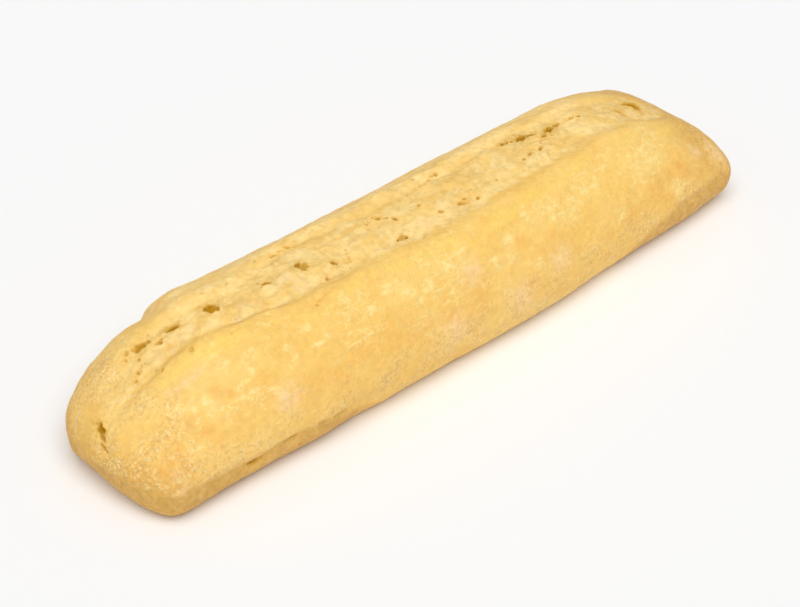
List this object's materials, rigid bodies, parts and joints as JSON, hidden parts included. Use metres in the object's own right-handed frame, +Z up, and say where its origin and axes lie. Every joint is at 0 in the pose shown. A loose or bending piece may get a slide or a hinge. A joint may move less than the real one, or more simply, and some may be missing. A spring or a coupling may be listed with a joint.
{
  "type": "baguette",
  "caption": "Short pale part-baked baguette with blunt ends, one long open slash along its top and a flat base to rest on.",
  "frame": {"origin": "middle of the loaf's flat base", "axes": "+X along the loaf towards its squarer end, +Y across it, +Z up from the base to the slash"},
  "size_m": [0.2596, 0.0714, 0.0414],
  "materials": {
    "crust": "dry matt golden-yellow crust with a dusting of flour"
  },
  "bodies": {
    "root": {"baguette": "crust"}
  },
  "joints": []
}
